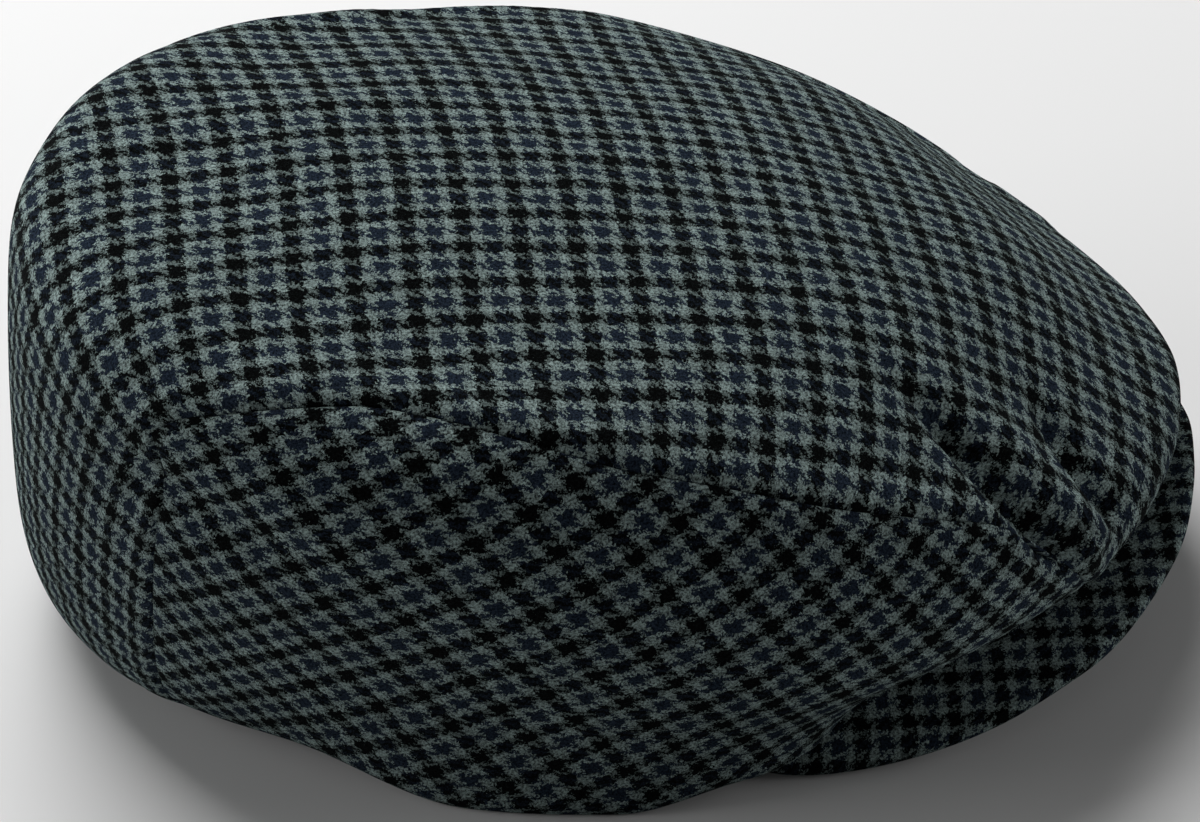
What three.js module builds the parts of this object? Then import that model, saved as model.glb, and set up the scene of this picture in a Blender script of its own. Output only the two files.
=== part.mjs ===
// A soft flat cap: one long top panel, a side panel on each side, and a cloth-covered peak.
// Millimetres, +Z up, the peak points to -Y, +X is the wearer's left.
// The origin is the centre of the cap's outline, on the surface that it rests on.
import * as THREE from 'three';

// ---------------------------------------------------------------- driving sizes
const wall = 2.0;            // cloth and its backing
const hem = 3.2;             // the wall at the rim, where the cloth is turned in
const seamGap = 0.3;         // clear gap between two pieces
const centreY = 9.4;         // the crown's own centre line
const topZ = 117.1;          // height over the crown's centre
const topSlope = 0.15;       // rise towards the back at the centre
const topFall = -0.45;       // how far the first ring lies under the centre
const topTwist = 0.22;       // more of that fall across than along
const ringShare = [0.22, 0.45, 0.68, 0.86];   // rings of the top, as shares of the shoulder's radius

// The crown, a row for each section from the front (0) round to the back (180). The two halves are alike.
// Radii run out from the centre line. top1 to top3 are the heights of the rings of the top;
// shoulder, belly, tuck and rim are the rounded shoulder, the widest part, the turn inwards and the edge.
const crownRows = [
  { angle: 0.0, top1: 99.9, top2: 85.5, top3: 61.8, shoulderR: 152.9, shoulderZ: 50.4, bellyR: 138.1, bellyZ: 43.2, tuckR: 112.7, tuckZ: 37.0, rimR: 93.2 },
  { angle: 22.5, top1: 103.5, top2: 90.5, top3: 64.9, shoulderR: 134.8, shoulderZ: 50.0, bellyR: 139.4, bellyZ: 37.2, tuckR: 111.1, tuckZ: 31.8, rimR: 91.4 },
  { angle: 45.0, top1: 106.0, top2: 97.1, top3: 77.4, shoulderR: 124.2, shoulderZ: 65.0, bellyR: 120.8, bellyZ: 35.1, tuckR: 103.8, tuckZ: 26.8, rimR: 88.2 },
  { angle: 67.5, top1: 109.2, top2: 103.6, top3: 95.8, shoulderR: 105.2, shoulderZ: 76.5, bellyR: 108.2, bellyZ: 37.7, tuckR: 98.0, tuckZ: 22.2, rimR: 97.0 },
  { angle: 90.0, top1: 113.2, top2: 107.2, top3: 105.1, shoulderR: 97.9, shoulderZ: 86.6, bellyR: 100.7, bellyZ: 52.8, tuckR: 92.4, tuckZ: 29.9, rimR: 88.8 },
  { angle: 112.5, top1: 116.0, top2: 110.7, top3: 107.5, shoulderR: 100.7, shoulderZ: 94.7, bellyR: 101.6, bellyZ: 69.4, tuckR: 95.4, tuckZ: 36.7, rimR: 91.6 },
  { angle: 135.0, top1: 119.2, top2: 113.7, top3: 112.6, shoulderR: 113.2, shoulderZ: 101.9, bellyR: 118.5, bellyZ: 80.4, tuckR: 106.8, tuckZ: 33.8, rimR: 93.5 },
  { angle: 157.5, top1: 121.5, top2: 118.7, top3: 121.7, shoulderR: 123.4, shoulderZ: 111.6, bellyR: 127.1, bellyZ: 78.8, tuckR: 129.0, tuckZ: 13.3, rimR: 105.0 },
  { angle: 180.0, top1: 122.1, top2: 120.4, top3: 116.5, shoulderR: 126.1, shoulderZ: 111.8, bellyR: 128.7, bellyZ: 78.2, tuckR: 131.2, tuckZ: 6.6, rimR: 110.6 },
];
// The rim lifts a little between these sections: over the ends of the peak and before the back corners.
const rimLifts = [
  { from: 56, top: 71, to: 88, height: 6.0 },
  { from: 110, top: 134, to: 162, height: 6.0 },
];

// The seam on each side, as section angle and ring number (0 is the centre, 8 is the rim).
// It leaves the rim over the peak, climbs to the shoulder, runs back and turns down at the back corner.
const frontSeam = [
  { angle: 25.0, ring: 8.0 }, { angle: 27.0, ring: 7.2 }, { angle: 29.5, ring: 6.3 }, { angle: 33.0, ring: 5.6 },
  { angle: 36.5, ring: 5.15 }, { angle: 39.0, ring: 4.8 },
];
const longSeam = [
  { angle: 39.0, ring: 4.8 }, { angle: 43.0, ring: 4.56 }, { angle: 50.5, ring: 4.43 }, { angle: 62.5, ring: 4.36 },
  { angle: 75.0, ring: 4.3 }, { angle: 88.5, ring: 4.26 }, { angle: 102.5, ring: 4.09 }, { angle: 114.0, ring: 3.98 },
  { angle: 123.5, ring: 4.02 }, { angle: 131.0, ring: 4.32 }, { angle: 137.5, ring: 4.7 }, { angle: 142.0, ring: 5.0 },
  { angle: 144.6, ring: 5.27 },
];
const backSeam = [
  { angle: 144.6, ring: 5.27 }, { angle: 143.0, ring: 5.55 }, { angle: 143.1, ring: 5.9 }, { angle: 144.6, ring: 6.35 },
  { angle: 146.5, ring: 6.8 }, { angle: 149.5, ring: 7.4 }, { angle: 152.0, ring: 8.0 },
];

// Folds and ridges of the cloth: a line of sections and rings, how far it stands out (+) or sinks (-),
// its half width, and the share of it that the left half has.
const folds = [
  { name: 'tuck beside the front of the seam', height: -2.2, width: 4.5, left: 0.8, line: [[39.5, 3.0], [38.6, 3.8], [38.4, 4.4], [36.6, 4.95], [33.6, 5.35]] },
  { name: 'roll between the two tucks', height: 1.6, width: 6.5, left: 0.8, line: [[31.5, 3.3], [32.5, 4.2], [31.5, 4.9], [29.5, 5.5]] },
  { name: 'second tuck', height: -1.6, width: 4.5, left: 0.8, line: [[22.5, 3.6], [25.5, 4.3], [26.5, 4.8], [25.5, 5.3]] },
  { name: 'ridge beside the long seam', height: 0.9, width: 4.0, left: 1.0, line: [[142, 4.6], [136, 4.1], [129.5, 3.7], [117, 3.65], [104.5, 3.8], [88, 3.85], [73, 3.83]] },
  { name: 'hollow under the back corner', height: -2.4, width: 7.0, left: 0.8, line: [[148, 5.6], [143, 5.7], [134, 5.75], [123.5, 6.0]] },
  { name: 'crease along the top', height: 0.8, width: 5.0, left: 1.0, side: 'left', line: [[181.5, 4.83], [184, 4.2], [187, 3.4], [193, 2.8], [204.5, 1.83], [229.5, 0.97]] },
];

// The peak: half widths of its outline from the tip back to its ends, and its arch.
const peakRows = [
  { y: -138.2, half: 0 }, { y: -137.2, half: 10 }, { y: -135.3, half: 20.5 }, { y: -129.9, half: 36.6 }, { y: -120.0, half: 50.7 },
  { y: -109.0, half: 61.3 }, { y: -96.6, half: 68.5 }, { y: -84.0, half: 74.2 }, { y: -70.0, half: 78.4 }, { y: -56.0, half: 81.0 },
  { y: -42.0, half: 82.2 }, { y: -32.0, half: 81.8 }, { y: -24.0, half: 80.2 },
];
const peakThick = 3.6;       // board between two layers of cloth
const peakRise = 34.6;       // height of its upper face at the middle
const peakEnd = 3.6;         // and at its ends, which touch the surface
const peakHalf = 82.4;
const peakDroop = 1.0;       // fall from its root to its tip
const peakRootY = -86;
const peakIn = 5;            // how far its root lies inside the crown's edge

// ---------------------------------------------------------------- mesh sizes
const rowsFront = 10, rowsLong = 28, rowsAcross = 18;   // rowsFront also counts the rows of a side panel's height

// ---------------------------------------------------------------- small helpers
const rad = (d) => (d * Math.PI) / 180;
const clamp = (v, a, b) => Math.min(b, Math.max(a, v));
const smooth = (a, b, v) => { const u = clamp((v - a) / (b - a), 0, 1); return u * u * (3 - 2 * u); };
const weights = (u) => [(1 - u) ** 3 / 6, (3 * u ** 3 - 6 * u * u + 4) / 6, (-3 * u ** 3 + 3 * u * u + 3 * u + 1) / 6, u ** 3 / 6];

// a value of the crown's table at any angle, smooth all the way round
function around(key, angle) {
  const n = crownRows.length, step = 180 / (n - 1), turn = 2 * (n - 1);
  const x = (((angle % 360) + 360) % 360) / step, i = Math.floor(x), w = weights(x - i);
  let v = 0;
  for (let k = -1; k < 3; k++) {
    let j = (i + k + turn) % turn;
    if (j > n - 1) j = turn - j;
    v += w[k + 1] * crownRows[j][key];
  }
  return v;
}

function peakTop(x, y) {
  const arch = peakRise - (peakRise - peakEnd) * (x / peakHalf) ** 2;
  return arch - peakDroop * smooth(peakRootY, peakRows[0].y, y);
}

// the rim: on the peak at the front, on the surface elsewhere, with a slight lift near the back corners
function rimHeight(angle, x, y) {
  const a = Math.abs(((angle + 180) % 360 + 360) % 360 - 180);
  const over = (peakTop(x, y) + seamGap) * (1 - smooth(66.5, 74, a));
  let lift = 0;
  for (const l of rimLifts) lift += l.height * smooth(l.from, l.top, a) * (1 - smooth(l.top, l.to, a));
  return Math.max(0, over) + lift;
}

// the point of the crown's outer face before folds: angle from the front towards -X, ring 0 at the centre to 8 at the rim
function crownBase(angle, ring) {
  const c = Math.cos(rad(angle)), s = Math.sin(rad(angle));
  const shoulder = around('shoulderR', angle), across = ringShare[0] * around('shoulderR', angle + 180);
  const fall = topFall + topTwist * Math.cos(2 * rad(angle));
  const near = ringShare[0] * shoulder;
  const rimR = around('rimR', angle);
  const rimZ = rimHeight(angle, -s * rimR, centreY - c * rimR);
  const tuckR = around('tuckR', angle), tuckZ = around('tuckZ', angle);
  const p = [
    [-across, topZ + topSlope * c * across + fall],
    [0, topZ],
    [near, topZ - topSlope * c * near + fall],
    [ringShare[1] * shoulder, around('top1', angle)],
    [ringShare[2] * shoulder, around('top2', angle)],
    [ringShare[3] * shoulder, around('top3', angle)],
    [shoulder, around('shoulderZ', angle)],
    [around('bellyR', angle), around('bellyZ', angle)],
    [tuckR, tuckZ],
    [rimR, rimZ],
    [2 * rimR - tuckR, 2 * rimZ - tuckZ],
  ];
  const i = Math.min(7, Math.floor(ring)), w = weights(ring - i);
  let r = 0, z = 0;
  for (let k = 0; k < 4; k++) { r += w[k] * p[i + k][0]; z += w[k] * p[i + k][1]; }
  return new THREE.Vector3(-s * r, centreY - c * r, z);
}

// the same face over a flat disc of radius 8, which has no awkward centre
const onDisc = (u, v) => crownBase((Math.atan2(u, v) * 180) / Math.PI, Math.min(8, Math.hypot(u, v)));
function normalOnDisc(u, v) {
  const r = Math.hypot(u, v), h = 0.02;
  const k = r > 8 - h ? (8 - h) / r : 1;
  const a = u * k, b = v * k;
  const du = onDisc(a + h, b).sub(onDisc(a - h, b)), dv = onDisc(a, b + h).sub(onDisc(a, b - h));
  return du.cross(dv).normalize();
}

// folds as lines in space
const foldLines = [];
for (const f of folds) {
  for (const side of f.side ? [f.side] : ['right', 'left']) {
    const sign = f.side || side === 'right' ? 1 : -1;
    const pts = [];
    for (let i = 0; i + 1 < f.line.length; i++) {
      for (let k = 0; k < 6; k++) {
        const t = k / 6, a = f.line[i], b = f.line[i + 1];
        pts.push(crownBase(sign * (a[0] + (b[0] - a[0]) * t), a[1] + (b[1] - a[1]) * t));
      }
    }
    const e = f.line[f.line.length - 1];
    pts.push(crownBase(sign * e[0], e[1]));
    foldLines.push({ pts, height: f.height * (side === 'left' ? f.left : 1), width: f.width });
  }
}
function foldAt(p) {
  let out = 0;
  for (const f of foldLines) {
    let best = Infinity, at = 0;
    for (let i = 0; i < f.pts.length; i++) {
      const d = f.pts[i].distanceToSquared(p);
      if (d < best) { best = d; at = i; }
    }
    const along = at / (f.pts.length - 1);
    const fade = smooth(0, 0.25, along) * (1 - smooth(0.75, 1, along));
    out += f.height * (0.15 + 0.85 * fade) * Math.exp(-best / (f.width * f.width));
  }
  return out;
}

// outer and inner points of the wall at a place on the disc
function wallAt(u, v) {
  const ring = Math.hypot(u, v), angle = (Math.atan2(u, v) * 180) / Math.PI;
  const base = onDisc(u, v), n = normalOnDisc(u, v);
  const calm = 1 - smooth(7.2, 8, ring);
  const outer = base.clone().addScaledVector(n, foldAt(base) * calm);
  const thick = wall + (hem - wall) * smooth(7.2, 8, ring);
  const inner = outer.clone().addScaledVector(n, -thick);
  if (ring > 7.999) {
    // the rim is a flat band, on the surface or along the peak
    const r = Math.hypot(base.x, base.y - centreY), k = (r - hem) / r;
    inner.set(base.x * k, centreY + (base.y - centreY) * k, 0);
    inner.z = rimHeight(angle, inner.x, inner.y);
  }
  return { outer, inner };
}

// a smooth line through table rows, in disc coordinates, on the right (-X) side
function discLine(rows, count) {
  const pts = rows.map((r) => new THREE.Vector3(r.ring * Math.sin(rad(r.angle)), r.ring * Math.cos(rad(r.angle)), 0));
  const curve = new THREE.CatmullRomCurve3(pts, false, 'centripetal');
  const out = [];
  for (let i = 0; i <= count; i++) out.push(curve.getPointAt(i / count));
  return out;
}
const lineFront = discLine(frontSeam, rowsFront);
const lineLong = discLine(longSeam, rowsLong);
const lineBack = discLine(backSeam, rowsFront);

// a closed wall from a grid of disc places; rows and columns run so that the outer face looks out
function panelMesh(grid, pull) {
  const nr = grid.length, nc = grid[0].length;
  const outer = [], inner = [];
  for (let i = 0; i < nr; i++) {
    outer.push([]); inner.push([]);
    for (let j = 0; j < nc; j++) {
      const w = wallAt(grid[i][j].x, grid[i][j].y);
      outer[i].push(w.outer); inner[i].push(w.inner);
    }
  }
  pull(outer); pull(inner);
  const pos = [], index = [];
  const id = (i, j, side) => side * nr * nc + i * nc + j;
  for (const set of [outer, inner]) for (const row of set) for (const p of row) pos.push(p.x, p.y, p.z);
  const quad = (a, b, c, d) => index.push(a, b, c, a, c, d);
  for (let i = 0; i + 1 < nr; i++) {
    for (let j = 0; j + 1 < nc; j++) {
      quad(id(i, j, 0), id(i + 1, j, 0), id(i + 1, j + 1, 0), id(i, j + 1, 0));
      quad(id(i, j, 1), id(i, j + 1, 1), id(i + 1, j + 1, 1), id(i + 1, j, 1));
    }
  }
  for (let i = 0; i + 1 < nr; i++) {
    quad(id(i, 0, 0), id(i, 0, 1), id(i + 1, 0, 1), id(i + 1, 0, 0));
    quad(id(i, nc - 1, 0), id(i + 1, nc - 1, 0), id(i + 1, nc - 1, 1), id(i, nc - 1, 1));
  }
  for (let j = 0; j + 1 < nc; j++) {
    quad(id(0, j, 0), id(0, j + 1, 0), id(0, j + 1, 1), id(0, j, 1));
    quad(id(nr - 1, j, 0), id(nr - 1, j, 1), id(nr - 1, j + 1, 1), id(nr - 1, j + 1, 0));
  }
  const g = new THREE.BufferGeometry();
  g.setAttribute('position', new THREE.Float32BufferAttribute(pos, 3));
  g.setIndex(index);
  g.computeVertexNormals();
  return g;
}
// moves an edge point half a seam gap towards its neighbour inside the panel
const shift = (p, q) => { const d = q.clone().sub(p); p.addScaledVector(d, seamGap / 2 / Math.max(d.length(), 1)); };

// ---------------------------------------------------------------- top panel
function topPanel() {
  const edge = [...lineFront, ...lineLong.slice(1), ...lineBack.slice(1)];
  const last = edge.length - 1, grid = [];
  for (let i = 0; i <= last; i++) {
    const e = edge[i], row = [];
    // near the front and back ends the rows bend into the round rim
    const bend = i < rowsFront ? 1 - smooth(0, rowsFront, i) : smooth(last - rowsFront, last, i);
    const sign = i < last / 2 ? 1 : -1;
    const flat = Math.sqrt(Math.max(0, 64 - e.x * e.x));
    for (let j = 0; j <= rowsAcross; j++) {
      const share = (2 * j) / rowsAcross - 1, x = e.x * share;
      const y = e.y + sign * bend * (Math.sqrt(64 - x * x) - flat);
      row.push(new THREE.Vector2(x, y));
    }
    grid.push(row);
  }
  return panelMesh(grid, (set) => {
    for (const row of set) { shift(row[0], row[1]); shift(row[rowsAcross], row[rowsAcross - 1]); }
  });
}

// ---------------------------------------------------------------- side panels
function sidePanel(side) {
  const top = lineLong, front = [...lineFront].reverse(), back = lineBack, bottom = [];
  const a0 = frontSeam[0].angle, a1 = backSeam[backSeam.length - 1].angle;
  for (let i = 0; i <= rowsLong; i++) {
    const a = rad(a0 + ((a1 - a0) * i) / rowsLong);
    bottom.push(new THREE.Vector3(8 * Math.sin(a), 8 * Math.cos(a), 0));
  }
  const grid = [];
  for (let i = 0; i <= rowsLong; i++) {
    const u = i / rowsLong, row = [];
    for (let j = 0; j <= rowsFront; j++) {
      const v = j / rowsFront;
      const mix = (key) =>
        (1 - v) * top[i][key] + v * bottom[i][key] + (1 - u) * front[j][key] + u * back[j][key]
        - ((1 - u) * (1 - v) * top[0][key] + u * (1 - v) * top[rowsLong][key] + (1 - u) * v * bottom[0][key] + u * v * bottom[rowsLong][key]);
      row.push(new THREE.Vector2(side * mix('x'), mix('y')));
    }
    grid.push(row);
  }
  if (side < 0) grid.reverse();
  return panelMesh(grid, (set) => {
    const first = set[0].map((p) => p.clone()), lastRow = set[rowsLong].map((p) => p.clone());
    for (let i = 0; i <= rowsLong; i++) shift(set[i][0], set[i][1]);
    for (let j = 0; j <= rowsFront; j++) {
      const d0 = set[1][j].clone().sub(first[j]), d1 = set[rowsLong - 1][j].clone().sub(lastRow[j]);
      set[0][j].addScaledVector(d0, seamGap / 2 / Math.max(d0.length(), 1));
      set[rowsLong][j].addScaledVector(d1, seamGap / 2 / Math.max(d1.length(), 1));
    }
  });
}

// ---------------------------------------------------------------- peak
function peakMesh() {
  const half = peakRows.map((r) => new THREE.Vector3(r.half, r.y, 0));
  const outline = new THREE.CatmullRomCurve3([...half.slice(1).reverse().map((p) => new THREE.Vector3(-p.x, p.y, 0)), ...half], false, 'centripetal');
  const nA = 44, nR = 5, nE = 3, sections = [];
  for (let i = 0; i <= nA; i++) {
    const o = outline.getPointAt(i / nA);
    // the root follows the crown's edge, a little inside it
    const angle = (Math.atan2(-o.x, centreY - o.y) * 180) / Math.PI;
    const reach = Math.hypot(o.x, o.y - centreY), rim = around('rimR', angle);
    const free = reach - 7, held = rim - peakIn, gap = Math.max(0, 4 - Math.abs(free - held));
    const rootR = Math.min(free, held) - (gap * gap) / 16;   // the lesser of the two, with a rounded change
    const dir = new THREE.Vector2(o.x, o.y - centreY).normalize();
    const ring = [];
    const at = (r, low) => {
      const x = dir.x * r, y = centreY + dir.y * r;
      return new THREE.Vector3(x, y, peakTop(x, y) - low);
    };
    const edgeR = peakThick / 2;
    for (let k = 0; k <= nR; k++) ring.push(at(rootR + ((reach - edgeR - rootR) * k) / nR, 0));
    for (let k = 1; k < nE; k++) {
      const a = (Math.PI * k) / nE;
      ring.push(at(reach - edgeR + edgeR * Math.sin(a), edgeR - edgeR * Math.cos(a)));
    }
    for (let k = nR; k >= 0; k--) ring.push(at(rootR + ((reach - edgeR - rootR) * k) / nR, peakThick));
    sections.push(ring);
  }
  const m = sections[0].length, pos = [], index = [];
  for (const s of sections) for (const p of s) pos.push(p.x, p.y, Math.max(0, p.z));
  const id = (i, j) => i * m + (j % m);
  for (let i = 0; i < nA; i++) for (let j = 0; j < m; j++) index.push(id(i, j), id(i, j + 1), id(i + 1, j + 1), id(i, j), id(i + 1, j + 1), id(i + 1, j));
  // the ends are closed by strips between the upper and lower faces
  for (const [i, flip] of [[0, false], [nA, true]]) {
    for (let k = 0; k < Math.floor(m / 2) - (m % 2 ? 0 : 1) + 1; k++) {
      const a = id(i, k), b = id(i, k + 1), c = id(i, m - 2 - k), d = id(i, m - 1 - k);
      const tri = (p, q, r) => { if (p !== q && q !== r && p !== r) index.push(...(flip ? [p, r, q] : [p, q, r])); };
      if (k + 1 > m - 2 - k) break;
      tri(a, c, b); tri(a, d, c);
      if (k + 1 === m - 2 - k) break;
    }
  }
  const g = new THREE.BufferGeometry();
  g.setAttribute('position', new THREE.Float32BufferAttribute(pos, 3));
  g.setIndex(index);
  g.computeVertexNormals();
  return g;
}

// ---------------------------------------------------------------- the cap
const cloth = (name, color) => {
  const m = new THREE.MeshStandardMaterial({ color, roughness: 0.95, metalness: 0 });
  m.name = name;
  return m;
};
const cap = new THREE.Group();
cap.name = 'flat_cap';
const add = (name, geometry, material) => {
  const mesh = new THREE.Mesh(geometry, material);
  mesh.name = name;
  cap.add(mesh);
};
add('top_panel', topPanel(), cloth('wool_check_top', '#3c4446'));
add('side_panel_right', sidePanel(1), cloth('wool_check_right', '#33393b'));
add('side_panel_left', sidePanel(-1), cloth('wool_check_left', '#33393b'));
add('peak', peakMesh(), cloth('wool_check_peak', '#262b2d'));

export default cap;
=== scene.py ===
"""The looks of a soft flat cap in brushed check wool: crown of three panels, turned hem, seams, tucks and a cloth-covered peak."""
import math

import bpy
import numpy as np
from mathutils import Matrix, Vector


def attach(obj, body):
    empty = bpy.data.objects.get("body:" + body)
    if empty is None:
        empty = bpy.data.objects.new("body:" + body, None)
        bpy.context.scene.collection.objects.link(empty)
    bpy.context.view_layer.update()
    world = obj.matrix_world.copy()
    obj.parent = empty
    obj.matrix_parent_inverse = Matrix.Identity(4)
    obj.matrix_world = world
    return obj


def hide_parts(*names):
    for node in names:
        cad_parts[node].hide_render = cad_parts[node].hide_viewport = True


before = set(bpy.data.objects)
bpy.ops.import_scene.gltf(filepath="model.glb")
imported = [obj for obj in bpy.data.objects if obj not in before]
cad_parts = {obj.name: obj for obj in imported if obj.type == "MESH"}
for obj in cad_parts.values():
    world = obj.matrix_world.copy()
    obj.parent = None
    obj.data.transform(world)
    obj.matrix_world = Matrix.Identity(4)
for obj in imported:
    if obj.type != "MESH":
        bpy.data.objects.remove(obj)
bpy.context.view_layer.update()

# ---------------------------------------------------------------- the cap's shape, in millimetres
# The same tables as the solid model. Angle 0 is the front, 180 the back, positive towards -X.
# Ring 0 is the middle of the crown, ring 8 is the rim.
CENTRE_Y = 9.4
TOP_Z, TOP_SLOPE, TOP_FALL, TOP_TWIST = 117.1, 0.15, -0.45, 0.22
RING_SHARE = (0.22, 0.45, 0.68, 0.86)
CROWN_KEYS = ("top1", "top2", "top3", "shoulderR", "shoulderZ", "bellyR", "bellyZ", "tuckR", "tuckZ", "rimR")
CROWN = np.array([
    # top1   top2   top3  shR    shZ    belR   belZ  tuckR tuckZ rimR      section every 22.5 degrees
    (99.9, 85.5, 61.8, 152.9, 50.4, 138.1, 43.2, 112.7, 37.0, 93.2),
    (103.5, 90.5, 64.9, 134.8, 50.0, 139.4, 37.2, 111.1, 31.8, 91.4),
    (106.0, 97.1, 77.4, 124.2, 65.0, 120.8, 35.1, 103.8, 26.8, 88.2),
    (109.2, 103.6, 95.8, 105.2, 76.5, 108.2, 37.7, 98.0, 22.2, 97.0),
    (113.2, 107.2, 105.1, 97.9, 86.6, 100.7, 52.8, 92.4, 29.9, 88.8),
    (116.0, 110.7, 107.5, 100.7, 94.7, 101.6, 69.4, 95.4, 36.7, 91.6),
    (119.2, 113.7, 112.6, 113.2, 101.9, 118.5, 80.4, 106.8, 33.8, 93.5),
    (121.5, 118.7, 121.7, 123.4, 111.6, 127.1, 78.8, 129.0, 13.3, 105.0),
    (122.1, 120.4, 116.5, 126.1, 111.8, 128.7, 78.2, 131.2, 6.6, 110.6),
])
RIM_LIFTS = ((56, 71, 88, 6.0), (110, 134, 162, 6.0))          # from, top, to, height
FRONT_SEAM = ((25.0, 8.0), (27.0, 7.2), (29.5, 6.3), (33.0, 5.6), (36.5, 5.15), (39.0, 4.8))
LONG_SEAM = ((39.0, 4.8), (43.0, 4.56), (50.5, 4.43), (62.5, 4.36), (75.0, 4.3), (88.5, 4.26), (102.5, 4.09),
             (114.0, 3.98), (123.5, 4.02), (131.0, 4.32), (137.5, 4.7), (142.0, 5.0), (144.6, 5.27))
BACK_SEAM = ((144.6, 5.27), (143.0, 5.55), (143.1, 5.9), (144.6, 6.35), (146.5, 6.8), (149.5, 7.4), (152.0, 8.0))
PEAK_ROWS = ((-138.2, 0), (-137.2, 10), (-135.3, 20.5), (-129.9, 36.6), (-120.0, 50.7), (-109.0, 61.3), (-96.6, 68.5),
             (-84.0, 74.2), (-70.0, 78.4), (-56.0, 81.0), (-42.0, 82.2), (-32.0, 81.8), (-24.0, 80.2))   # y, half width
PEAK_THICK, PEAK_RISE, PEAK_END, PEAK_HALF, PEAK_DROOP, PEAK_ROOT_Y, PEAK_IN = 3.6, 34.6, 3.6, 82.4, 1.0, -86.0, 5.0
SEAM_GAP = 0.3


def smooth(a, b, v):
    u = np.clip((np.asarray(v, float) - a) / (b - a), 0, 1)
    return u * u * (3 - 2 * u)


def spline_weights(u):
    return np.stack([(1 - u) ** 3 / 6, (3 * u**3 - 6 * u * u + 4) / 6, (-3 * u**3 + 3 * u * u + 3 * u + 1) / 6, u**3 / 6], -1)


def around(key, angle):
    """A column of the crown's table at any angle, smooth all the way round."""
    c = CROWN_KEYS.index(key)
    x = np.mod(np.asarray(angle, float), 360.0) / 22.5
    i = np.floor(x).astype(int)
    w = spline_weights(x - i)
    out = 0
    for k in range(-1, 3):
        j = np.mod(i + k, 16)
        j = np.where(j > 8, 16 - j, j)
        out = out + w[..., k + 1] * CROWN[j, c]
    return out


def peak_top(x, y):
    return PEAK_RISE - (PEAK_RISE - PEAK_END) * (x / PEAK_HALF) ** 2 - PEAK_DROOP * smooth(PEAK_ROOT_Y, PEAK_ROWS[0][0], y)


def rim_height(angle, x, y):
    a = np.abs(np.mod(np.asarray(angle, float) + 180, 360) - 180)
    over = (peak_top(x, y) + SEAM_GAP) * (1 - smooth(66.5, 74, a))
    lift = 0
    for start, top, end, height in RIM_LIFTS:
        lift = lift + height * smooth(start, top, a) * (1 - smooth(top, end, a))
    return np.maximum(0, over) + lift


def crown_base(angle, ring):
    """Outer face of the crown before folds."""
    angle, ring = np.broadcast_arrays(np.asarray(angle, float), np.asarray(ring, float))
    t = np.radians(angle)
    c, s = np.cos(t), np.sin(t)
    shoulder = around("shoulderR", angle)
    across, near = RING_SHARE[0] * around("shoulderR", angle + 180), RING_SHARE[0] * shoulder
    fall = TOP_FALL + TOP_TWIST * np.cos(2 * t)
    rim_r = around("rimR", angle)
    rim_z = rim_height(angle, -s * rim_r, CENTRE_Y - c * rim_r)
    tuck_r, tuck_z = around("tuckR", angle), around("tuckZ", angle)
    zero = np.zeros_like(c)
    pr = np.stack([-across, zero, near, RING_SHARE[1] * shoulder, RING_SHARE[2] * shoulder, RING_SHARE[3] * shoulder,
                   shoulder, around("bellyR", angle), tuck_r, rim_r, 2 * rim_r - tuck_r])
    pz = np.stack([TOP_Z + TOP_SLOPE * c * across + fall, zero + TOP_Z, TOP_Z - TOP_SLOPE * c * near + fall,
                   around("top1", angle), around("top2", angle), around("top3", angle),
                   around("shoulderZ", angle), around("bellyZ", angle), tuck_z, rim_z, 2 * rim_z - tuck_z])
    i = np.minimum(7, np.floor(ring)).astype(int)
    w = spline_weights(ring - i)
    r = z = 0
    for k in range(4):
        r = r + w[..., k] * np.take_along_axis(pr, (i + k)[None], 0)[0]
        z = z + w[..., k] * np.take_along_axis(pz, (i + k)[None], 0)[0]
    return np.stack([-s * r, CENTRE_Y - c * r, z], -1)


def on_disc(u, v):
    """The same face over a flat disc of radius 8: u towards -X, v towards the front."""
    return crown_base(np.degrees(np.arctan2(u, v)), np.minimum(8, np.hypot(u, v)))


def disc_frame(u, v):
    """Unit normal, and the two tangents a unit of u and of v, on the disc."""
    h = 0.02
    r = np.hypot(u, v)
    k = np.where(r > 8 - h, (8 - h) / np.maximum(r, 1e-9), 1.0)
    a, b = u * k, v * k
    du = (on_disc(a + h, b) - on_disc(a - h, b)) / (2 * h)
    dv = (on_disc(a, b + h) - on_disc(a, b - h)) / (2 * h)
    n = np.cross(du, dv)
    return n / np.linalg.norm(n, axis=-1, keepdims=True), du, dv


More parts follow.
